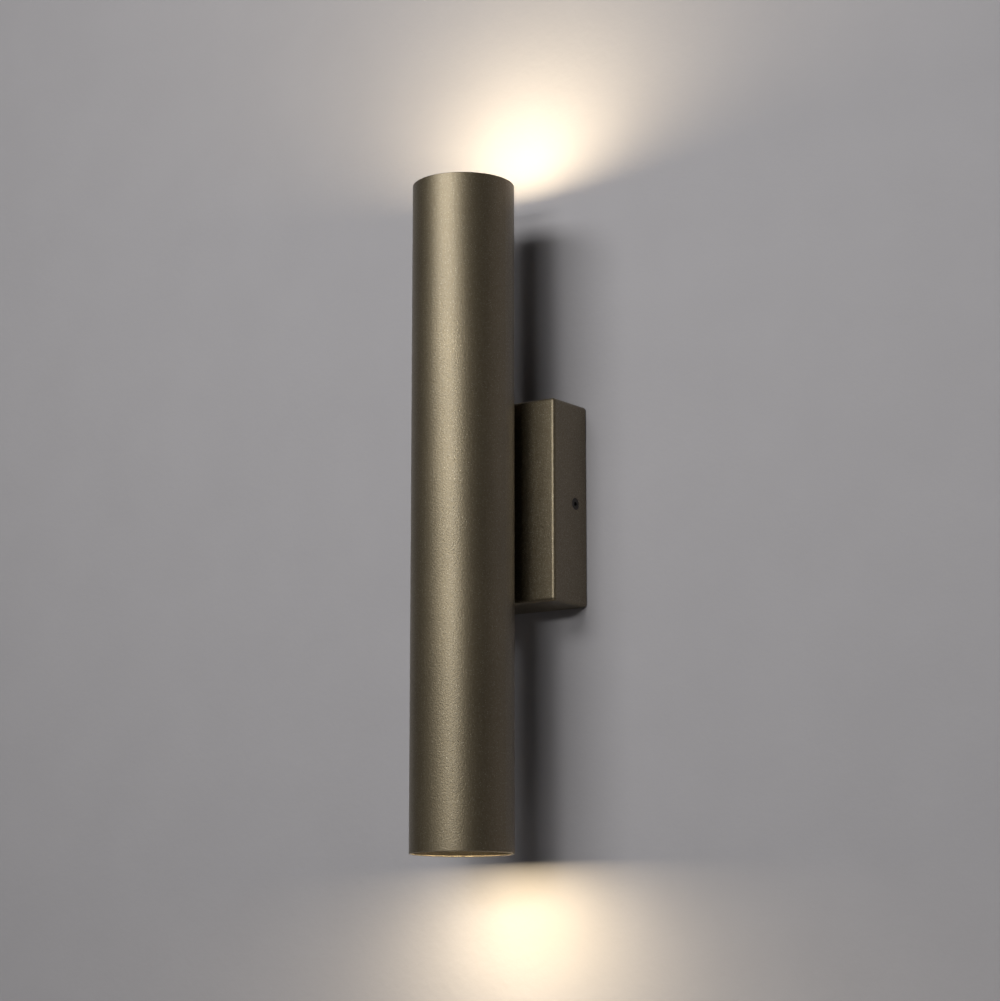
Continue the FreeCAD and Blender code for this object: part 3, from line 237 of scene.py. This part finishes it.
class Finish(Tree):
    """A material built from expressions, with one Principled shader."""

    def __init__(self, name):
        self.material = bpy.data.materials.new(name)
        self.material.use_nodes = True
        super().__init__(self.material.node_tree)
        self.shader = self.nodes["Principled BSDF"]
        self.place = self.add("ShaderNodeTexCoord", output="Object")

    def surface(self, **sockets):
        """Sets the shader's sockets, named with underscores for spaces."""
        for name, value in sockets.items():
            self.feed(self.shader.inputs[name.replace("_", " ")], value)
        return self.material

    def noise(self, size, detail=2, stretch=(1, 1, 1)):
        place = self.add("ShaderNodeMapping", {}, {"Vector": self.place, "Scale": stretch})
        return self.add("ShaderNodeTexNoise", {}, {"Vector": place, "Scale": 1 / size, "Detail": detail})

    def cells(self, size, output="Distance"):
        return self.add("ShaderNodeTexVoronoi", {}, {"Vector": self.place, "Scale": 1 / size}, output)

    def grey(self, colour):
        return self.add("ShaderNodeRGBToBW", {}, {"Color": colour})

    def between(self, value, low, high):
        """The share of the way that a value has gone from low to high, kept within 0 and 1."""
        return self.add("ShaderNodeMapRange", {}, {"Value": value, "From Min": low, "From Max": high})

    def relief(self, height, depth):
        return self.add("ShaderNodeBump", {}, {"Height": height, "Distance": depth}, output="Normal")


def scaled(colour, factor):
    return tuple(min(part * factor, 1) for part in colour)


def speckled(name, colour, spread, size, **sockets):
    """A finish whose colour drifts a little, lighter and darker, over spots of one size."""
    finish = Finish(name)
    drift = finish.between(finish.noise(size, 3), 0.3, 0.7)
    tint = finish.mix(drift, scaled(colour, 1 - spread), scaled(colour, 1 + spread))
    finish.surface(Base_Color=tint, **sockets)
    return finish


# ---- finishes ----


def bronze_coat(settings):
    """Fine-textured metallic powder coat: a dark bronze ground with pale flakes in it."""
    finish = Finish("bronze_coat")
    grain = finish.noise(settings.grain, 3)
    cloud = finish.noise(60 * settings.grain, 2)
    ground = finish.mix(
        finish.between(grain * 0.6 + cloud * 0.4, 0.36, 0.64),
        scaled(settings.colour, 0.9), scaled(settings.colour, 1.1),
    )
    flakes = finish.grey(finish.cells(0.6 * settings.grain, "Color")) > 0.78
    near = finish.cells(0.6 * settings.grain) < 0.33
    coat = finish.mix(flakes * near * 0.5, ground, tuple(settings.flake))
    roughness = settings.roughness + 0.16 * (grain - 0.5)
    clear = settings.clear * (0.4 + 1.2 * finish.between(grain, 0.3, 0.7))
    return finish.surface(
        Base_Color=coat, Metallic=0.86, Roughness=roughness,
        Coat_Weight=clear, Coat_Roughness=settings.clear_roughness,
        Normal=finish.relief(grain, settings.depth),
    )


def dark_screw():
    """Black plated steel, a little uneven in its gloss."""
    finish = speckled("dark_screw", (0.05, 0.045, 0.04), 0.3, 0.5 * MM, Metallic=1.0)
    wear = finish.noise(0.3 * MM, 2)
    return finish.surface(Roughness=0.3 + 0.2 * wear, Normal=finish.relief(wear, 0.01 * MM))


def zinc_steel():
    """Bright zinc plate with rolling marks and cloudy patches."""
    finish = speckled("zinc_steel", (0.62, 0.63, 0.64), 0.12, 6 * MM, Metallic=1.0)
    marks = finish.noise(0.5 * MM, 3, stretch=(1, 1, 0.05))
    return finish.surface(Roughness=0.26 + 0.2 * marks, Normal=finish.relief(marks, 0.008 * MM))


def turned_brass():
    finish = speckled("brass", (0.78, 0.6, 0.28), 0.1, 1.5 * MM, Metallic=1.0)
    marks = finish.noise(0.2 * MM, 2, stretch=(0.2, 1, 1))
    return finish.surface(Roughness=0.2 + 0.16 * marks, Normal=finish.relief(marks, 0.005 * MM))


def tinned_copper():
    """Tin plate, a little dull, with the copper showing faintly through."""
    finish = Finish("tinned_copper")
    worn = finish.between(finish.noise(0.8 * MM, 4), 0.55, 0.8)
    return finish.surface(
        Base_Color=finish.mix(worn, (0.74, 0.72, 0.68), (0.72, 0.5, 0.34)),
        Metallic=1.0, Roughness=0.28 + 0.15 * worn,
    )


def steatite():
    """Unglazed pressed ceramic, slightly sandy."""
    finish = speckled("steatite", (0.84, 0.8, 0.72), 0.06, 0.9 * MM)
    sand = finish.noise(0.25 * MM, 3)
    return finish.surface(Roughness=0.62 + 0.2 * sand, Normal=finish.relief(sand, 0.03 * MM))


def moulding(name, colour, roughness, **sockets):
    """A plastic moulding with a finely eroded surface."""
    finish = speckled(name, colour, 0.05, 5 * MM, **sockets)
    grain = finish.noise(0.12 * MM, 2)
    return finish.surface(
        Roughness=roughness - 0.06 + 0.12 * grain, Normal=finish.relief(grain, 0.01 * MM)
    )


def black_rubber():
    finish = speckled("black_rubber", (0.035, 0.034, 0.033), 0.3, 2 * MM)
    dust = finish.between(finish.noise(1.2 * MM, 4), 0.6, 0.85)
    return finish.surface(Roughness=0.66 + 0.2 * dust, Normal=finish.relief(dust, 0.02 * MM))


def lamp_aluminium():
    """Die-cast aluminium, satin, with a trace of the mould's texture."""
    finish = speckled("lamp_aluminium", (0.74, 0.74, 0.75), 0.07, 3 * MM, Metallic=1.0)
    cast = finish.noise(0.25 * MM, 3)
    return finish.surface(Roughness=0.34 + 0.14 * cast, Normal=finish.relief(cast, 0.02 * MM))


def board_white():
    """White solder mask over tracks that show as faint raised lines."""
    finish = speckled("board_white", (0.86, 0.86, 0.83), 0.03, 4 * MM, Specular_IOR_Level=0.6)
    tracks = finish.cells(3 * MM) > 0.62
    return finish.surface(Roughness=0.35, Normal=finish.relief(tracks, 0.03 * MM))


def phosphor(settings):
    """The lit yellow phosphor over the emitter's chips."""
    finish = Finish("phosphor")
    chips = finish.between(finish.cells(1.4 * MM), 0.1, 0.55)
    glow = finish.mix(chips, (1.0, 0.86, 0.5), (0.95, 0.62, 0.2))
    return finish.surface(
        Base_Color=glow, Roughness=0.5, Emission_Color=glow, Emission_Strength=settings.glow
    )


def lens_frosted(settings):
    """The lit lens: brightest over the emitter, with fine ripples in the moulding."""
    finish = Finish("lens_frosted")
    ripple = finish.noise(0.6 * MM, 2)
    out = finish.add("ShaderNodeSeparateXYZ", {}, {"Vector": finish.place}, "X")
    depth = finish.add("ShaderNodeSeparateXYZ", {}, {"Vector": finish.place}, "Y") - tube_axis()
    away = (out * out + depth * depth) ** 0.5
    rim = finish.between(away, 6 * MM, 23 * MM)
    glow = finish.mix(rim, settings.colour, scaled(settings.colour, 0.62))
    glow = finish.mix(finish.between(ripple, 0.3, 0.7) * 0.2, glow, (1.0, 0.97, 0.9))
    return finish.surface(
        Base_Color=(0.9, 0.87, 0.8), Roughness=0.22, Emission_Color=glow,
        Emission_Strength=settings.glow, Normal=finish.relief(ripple, 0.05 * MM),
    )


def insulation(name, colour):
    """Silicone insulation, limp and slightly dusty."""
    finish = speckled(name, colour, 0.12, 1.5 * MM)
    dust = finish.noise(0.3 * MM, 3)
    return finish.surface(Roughness=0.45 + 0.2 * dust, Normal=finish.relief(dust, 0.01 * MM))


def earth_insulation():
    """Green insulation with yellow stripes that run askew."""
    finish = Finish("earth_insulation")
    stripes = finish.add(
        "ShaderNodeTexWave", {"bands_direction": "DIAGONAL"},
        {"Vector": finish.place, "Scale": 1 / (12 * MM), "Distortion": 0.4},
    )
    dust = finish.noise(0.3 * MM, 3)
    return finish.surface(
        Base_Color=finish.mix(stripes > 0.55, (0.07, 0.32, 0.07), (0.82, 0.68, 0.06)),
        Roughness=0.4 + 0.2 * dust,
    )


# ---- pieces ----


def tube_axis():
    low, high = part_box("tube_body")
    return (low.y + high.y) / 2


def node_names(slot):
    """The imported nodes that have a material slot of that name."""
    return [part["node"] for part in frame["record"]["subparts"] if part["material_slot"] == slot]


def wear(slot, material):
    """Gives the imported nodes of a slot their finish."""
    for name in node_names(slot):
        for held in frame["nodes"][name].material_slots:
            held.material = material


def add_object(name, mesh, material):
    """Makes an object of a finished mesh."""
    data = bpy.data.meshes.new(name)
    mesh.to_mesh(data)
    mesh.free()
    data.materials.append(material)
    thing = bpy.data.objects.new(name, data)
    bpy.context.scene.collection.objects.link(thing)
    return thing


def piece(name, mesh, material, body):
    """Adds a piece that rides on a body of the model."""
    thing = add_object(name, mesh, material)
    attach(thing, body)
    return thing


def honeycomb(side, material):
    """Small six-sided lenslets in rows over the face of a lens, each sunk a little into it."""
    low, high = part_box(f"{side}_lamp_lens")
    face = high.z if side == "upper" else low.z
    reach = (high.x - low.x) / 2
    pitch = 4.1 * MM
    foot = 0.55 * pitch
    crown = 0.34 * pitch
    rise = 0.3 * MM
    sunk = 0.05 * MM
    turned = Matrix.Rotation(math.pi * (UP[side] < 0), 4, "X") @ Matrix.Rotation(math.pi / 6, 4, "Z")
    mesh = bmesh.new()
    rows = math.ceil(reach / pitch) + 1
    for row in range(-rows, rows + 1):
        for column in range(-rows, rows + 1):
            across = (column + row % 2 / 2) * pitch
            along = row * pitch * math.sqrt(3) / 2
            if math.hypot(across, along) + pitch / math.sqrt(3) > reach:
                continue
            middle = (across, tube_axis() + along, face + UP[side] * (rise - sunk) / 2)
            bmesh.ops.create_cone(
                mesh, cap_ends=True, segments=6, radius1=foot, radius2=crown, depth=rise + sunk,
                matrix=Matrix.Translation(middle) @ turned,
            )
    piece(f"{side}_lens_honeycomb", mesh, material, f"{side}_lamp")


def lathe(mesh, profile, steps):
    """Turns a profile of (radius, height) pairs about the Z axis into a closed solid."""
    line = [mesh.verts.new((radius, 0, height)) for radius, height in profile]
    edges = [mesh.edges.new(pair) for pair in zip(line, line[1:])]
    bmesh.ops.spin(
        mesh, geom=line + edges, cent=(0, 0, 0), axis=(0, 0, 1), angle=math.tau, steps=steps, use_merge=True
    )
    bmesh.ops.remove_doubles(mesh, verts=mesh.verts, dist=0.001 * MM)
    bmesh.ops.recalc_face_normals(mesh, faces=mesh.faces)


def pan_screw(shank, length, head):
    """A pan-head screw along Z with thread ridges and a cross recess, its head's seat at height 0."""
    root = shank - 0.25 * MM
    chamfer = 0.2 * MM
    pitch = 0.5 * MM
    runout = 0.6 * MM
    tip = 0.3 * MM - length
    profile = [(0, -length), (root - chamfer, -length), (root, tip)]
    for turn in range(int((-tip - runout) / pitch)):
        low = tip + turn * pitch
        profile += [(shank, low + 0.4 * pitch), (shank, low + 0.55 * pitch), (root, low + 0.95 * pitch)]
    edge = 0.15 * MM
    mouth = 0.56 * head
    profile += [
        (root, -0.1 * MM), (head - edge, 0), (head, edge), (head, HEAD_HEIGHT * 0.45),
        (head * 0.93, HEAD_HEIGHT * 0.75), (head * 0.75, HEAD_HEIGHT * 0.93), (mouth, HEAD_HEIGHT),
        (mouth * 0.9, HEAD_HEIGHT * 0.9), (mouth * 0.55, HEAD_HEIGHT * 0.35), (0, HEAD_HEIGHT * 0.2),
    ]
    sectors = 24
    between_arms = (2, 3, 4)
    drawn_in = 0.42
    mesh = bmesh.new()
    lathe(mesh, profile, sectors)
    corners = []
    for vert in mesh.verts:
        in_recess = vert.co.z > HEAD_HEIGHT * 0.3 and 0.1 * MM < vert.co.xy.length < mouth * 1.01
        sector = round(math.atan2(vert.co.y, vert.co.x) / math.tau * sectors)
        if in_recess and sector % (sectors // 4) in between_arms:
            corners.append(vert)
    bmesh.ops.scale(mesh, vec=(drawn_in, drawn_in, 1), verts=corners)
    return mesh


def pan_screws(node, head, shank, places):
    """One piece for all the screws of a node, each given by its seat, its length and its head's direction."""
    whole = bmesh.new()
    for at, length, facing in places:
        single = pan_screw(shank, length, head)
        turn = Vector((0, 0, 1)).rotation_difference(Vector(facing)).to_matrix().to_4x4()
        single.transform(Matrix.Translation(at) @ turn)
        data = bpy.data.meshes.new("one_screw")
        single.to_mesh(data)
        single.free()
        whole.from_mesh(data)
        bpy.data.meshes.remove(data)
    material = frame["nodes"][node].material_slots[0].material
    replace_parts(piece(f"{node}_threaded", whole, material, "fixture"), node)


def flat_screws(node, head, shank):
    """The screws of a node that hold something down on the bracket, heads to the front."""
    low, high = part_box(node)
    ends = {
        (round(x, 5), round(z, 5))
        for x in (low.x + head, high.x - head)
        for z in (low.z + head, high.z - head)
    }
    seat = low.y + HEAD_HEIGHT
    pan_screws(node, head, shank, [((x, seat, z), high.y - seat, (0, -1, 0)) for x, z in sorted(ends)])


def holder_screws():
    """The lampholders' long screws, heads towards the lamps."""
    low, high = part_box("holder_screws")
    places = [
        ((x, tube_axis(), seat), HOLDER_SCREW, (0, 0, math.copysign(1, seat)))
        for x in (low.x + SMALL_HEAD, high.x - SMALL_HEAD)
        for seat in (low.z + HEAD_HEIGHT, high.z - HEAD_HEIGHT)
    ]
    pan_screws("holder_screws", SMALL_HEAD, SMALL_SHANK, places)


# ---- stage ----


def one_sided(name, colour, roughness, size, lift=0):
    """A plain painted face that is clear from behind, so that the back of the light can be looked at.

    lift makes it paler to the camera and adds no light to the object.
    """
    finish = speckled(name, colour, 0.015, size)
    plaster = finish.noise(size / 8, 3)
    seen = finish.add("ShaderNodeLightPath", output="Is Camera Ray")
    finish.surface(
        Roughness=roughness, Normal=finish.relief(plaster, 0.2 * MM), Specular_IOR_Level=0.2,
        Emission_Color=finish.mix(seen, (0, 0, 0), scaled(colour, lift)), Emission_Strength=1,
    )
    behind = finish.add("ShaderNodeNewGeometry", output="Backfacing")
    clear = finish.add("ShaderNodeBsdfTransparent")
    painted = Value(finish, finish.shader.outputs[0])
    shown = finish.add("ShaderNodeMixShader", {}, {0: behind, 1: painted, 2: clear})
    finish.feed(finish.nodes["Material Output"].inputs["Surface"], shown)
    return finish.material


def build_wall(settings):
    """A wall with an opening for the cable behind the box, where the box hides it."""
    low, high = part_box("box_cover")
    rim = 4 * MM
    gap = 0.3 * MM
    width = high.x - low.x - 2 * rim
    height = high.z - low.z - 2 * rim
    spread = 6.0
    mesh = bmesh.new()
    bmesh.ops.create_grid(
        mesh, x_segments=1, y_segments=1, size=0.5,
        matrix=Matrix.Translation((0, gap, 0)) @ Matrix.Rotation(math.pi / 2, 4, "X"),
    )
    bmesh.ops.scale(mesh, vec=(width, 1, height), verts=mesh.verts)
    edges = mesh.edges[:]
    bmesh.ops.delete(mesh, geom=mesh.faces[:], context="FACES_ONLY")
    grown = bmesh.ops.extrude_edge_only(mesh, edges=edges)["geom"]
    outer = [part for part in grown if isinstance(part, bmesh.types.BMVert)]
    bmesh.ops.scale(mesh, vec=(spread / width, 1, spread / height), verts=outer)
    mesh.normal_update()
    turned = [face for face in mesh.faces if face.normal.y > 0]
    bmesh.ops.reverse_faces(mesh, faces=turned)
    add_object("stage_wall", mesh, one_sided("wall_paint", settings.wall, 0.85, 0.05))


def build_floor(settings):
    mesh = bmesh.new()
    bmesh.ops.create_grid(
        mesh, x_segments=1, y_segments=1, size=3.0,
        matrix=Matrix.Translation((0, 0, -settings.floor_drop)),
    )
    paint = one_sided("floor_paint", settings.floor, 0.8, 0.2, lift=0.45)
    add_object("stage_floor", mesh, paint)


def shine(name, power, colour, at, towards, **facts):
    """An area light that the camera doesn't see."""
    light = bpy.data.lights.new(name, "AREA")
    light.energy = power
    light.color = colour
    for fact, value in facts.items():
        setattr(light, fact, value)
    lamp = bpy.data.objects.new(name, light)
    lamp.location = at
    lamp.rotation_euler = (Vector(towards) - Vector(at)).to_track_quat("-Z", "Y").to_euler()
    lamp.visible_camera = False
    bpy.context.scene.collection.objects.link(lamp)


def light_room(settings):
    world = bpy.data.worlds.new("room")
    world.use_nodes = True
    room = Tree(world.node_tree)
    seen = room.add("ShaderNodeLightPath", output="Is Camera Ray")
    room.feed(room.nodes["Background"].inputs["Color"], room.mix(seen, settings.sky, settings.distance))
    bpy.context.scene.world = world
    white = (0.985, 1.0, 0.975)
    middle = (0, tube_axis(), 0)
    shine(
        "key_light", settings.key, white, (0.33, -1.4, 0.17), middle,
        shape="RECTANGLE", size=0.5, size_y=0.12,
    )
    shine(
        "fill_light", settings.fill, white, (-0.15, -1.3, 0.62), middle,
        shape="RECTANGLE", size=0.92, size_y=0.4,
    )
    shine(
        "back_light", settings.back, white, (0.7, 1.6, 0.5), (0, 0, 0),
        shape="RECTANGLE", size=1.2, size_y=1.2,
    )


def light_lamps(settings):
    """The light that leaves each lens, from a disc just in front of it."""
    for side, ahead in zip(SIDES, (settings.upper_ahead, settings.lower_ahead)):
        low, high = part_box(f"{side}_lamp_lens")
        face = high.z + ahead if side == "upper" else low.z - ahead
        at = (0, tube_axis(), face)
        shine(
            f"{side}_beam", settings.power, settings.colour, at, (0, tube_axis(), face + UP[side]),
            shape="DISK", size=high.x - low.x - 2 * MM,
        )


def aim_camera(settings):
    camera = bpy.data.objects.new("camera", bpy.data.cameras.new("camera"))
    camera.location = settings.camera_at
    camera.rotation_euler = (math.pi / 2 + settings.camera_pitch, 0, settings.camera_yaw)
    camera.data.sensor_fit = "HORIZONTAL"
    camera.data.sensor_width = 36
    camera.data.lens = settings.lens
    camera.data.clip_start = 0.01
    camera.data.clip_end = 50
    bpy.context.scene.collection.objects.link(camera)
    bpy.context.scene.camera = camera


# ---- operators and panel ----


class WALLLIGHT_OT_coat(bpy.types.Operator):
    """Powder coat for the tube, the box and the spacer"""

    bl_idname = "wall_light.coat"
    bl_label = "Powder coat"

    def execute(self, context):
        wear("bronze_coat", bronze_coat(context.scene.wall_light_coat))
        wear("dark_screw", dark_screw())
        return {"FINISHED"}


class WALLLIGHT_OT_bracket(bpy.types.Operator):
    """Plated steel, rubber and nylon of the wall bracket, the nipple and the lamp carrier"""

    bl_idname = "wall_light.bracket"
    bl_label = "Bracket and fittings"

    def execute(self, context):
        wear("zinc_steel", zinc_steel())
        wear("white_plastic", moulding("white_plastic", (0.82, 0.82, 0.78), 0.45))
        wear("black_rubber", black_rubber())
        flat_screws("cable_clamp_screws", SMALL_HEAD, SMALL_SHANK)
        flat_screws("terminal_fixing_screws", SMALL_HEAD, SMALL_SHANK)
        return {"FINISHED"}


class WALLLIGHT_OT_wiring(bpy.types.Operator):
    """Terminal block, earth tags and insulated leads"""

    bl_idname = "wall_light.wiring"
    bl_label = "Wiring"

    def execute(self, context):
        wear("brass", turned_brass())
        wear("tinned_copper", tinned_copper())
        wear("terminal_plastic", moulding("terminal_plastic", (0.8, 0.78, 0.7), 0.4))
        wear("live_insulation", insulation("live_insulation", (0.2, 0.09, 0.04)))
        wear("neutral_insulation", insulation("neutral_insulation", (0.03, 0.13, 0.48)))
        wear("earth_insulation", earth_insulation())
        flat_screws("bracket_earth_screw", EARTH_HEAD, EARTH_SHANK)
        return {"FINISHED"}


class WALLLIGHT_OT_holders(bpy.types.Operator):
    """Ceramic lampholders and their caps"""

    bl_idname = "wall_light.holders"
    bl_label = "Lampholders"

    def execute(self, context):
        wear("steatite", steatite())
        wear("holder_plastic", moulding("holder_plastic", (0.05, 0.05, 0.052), 0.5))
        holder_screws()
        return {"FINISHED"}


class WALLLIGHT_OT_lamps(bpy.types.Operator):
    """The two reflector lamps with their lit lenses"""

    bl_idname = "wall_light.lamps"
    bl_label = "Lamps"

    def execute(self, context):
        settings = context.scene.wall_light_lamps
        lens = lens_frosted(settings)
        wear("lamp_plastic", moulding("lamp_plastic", (0.84, 0.83, 0.79), 0.3))
        wear("lamp_aluminium", lamp_aluminium())
        wear("board_white", board_white())
        wear("phosphor", phosphor(settings))
        wear("lens_frosted", lens)
        for side in SIDES:
            honeycomb(side, lens)
        return {"FINISHED"}


class WALLLIGHT_OT_stage(bpy.types.Operator):
    """Wall, floor, studio light, the lamps' own light and the camera"""

    bl_idname = "wall_light.stage"
    bl_label = "Wall, light and camera"

    def execute(self, context):
        settings = context.scene.wall_light_stage
        build_wall(settings)
        build_floor(settings)
        light_room(settings)
        light_lamps(context.scene.wall_light_lamps)
        aim_camera(settings)
        context.scene.view_settings.view_transform = "Standard"
        return {"FINISHED"}


class WALLLIGHT_PT_panel(bpy.types.Panel):
    """The steps that dress the wall light, in order"""

    bl_idname = "WALLLIGHT_PT_panel"
    bl_label = "Wall Light"
    bl_space_type = "VIEW_3D"
    bl_region_type = "UI"
    bl_category = "Wall Light"

    def draw(self, context):
        for step in STEPS:
            self.layout.operator(step.bl_idname)
        for name in SETTINGS:
            group = getattr(context.scene, name)
            box = self.layout.box()
            for setting in group.__annotations__:
                box.prop(group, setting)


STEPS = (
    WALLLIGHT_OT_coat,
    WALLLIGHT_OT_bracket,
    WALLLIGHT_OT_wiring,
    WALLLIGHT_OT_holders,
    WALLLIGHT_OT_lamps,
    WALLLIGHT_OT_stage,
)
SETTINGS = {
    "wall_light_coat": CoatSettings,
    "wall_light_lamps": LampSettings,
    "wall_light_stage": StageSettings,
}


def register():
    for made in (*SETTINGS.values(), *STEPS, WALLLIGHT_PT_panel):
        bpy.utils.register_class(made)
    for name, made in SETTINGS.items():
        setattr(bpy.types.Scene, name, bpy.props.PointerProperty(type=made))


def unregister():
    for name in SETTINGS:
        delattr(bpy.types.Scene, name)
    for made in (WALLLIGHT_PT_panel, *reversed(STEPS), *reversed(SETTINGS.values())):
        bpy.utils.unregister_class(made)


def main():
    register()
    for step in STEPS:
        group, name = step.bl_idname.split(".")
        getattr(getattr(bpy.ops, group), name)()


if __name__ == "__main__":
    main()
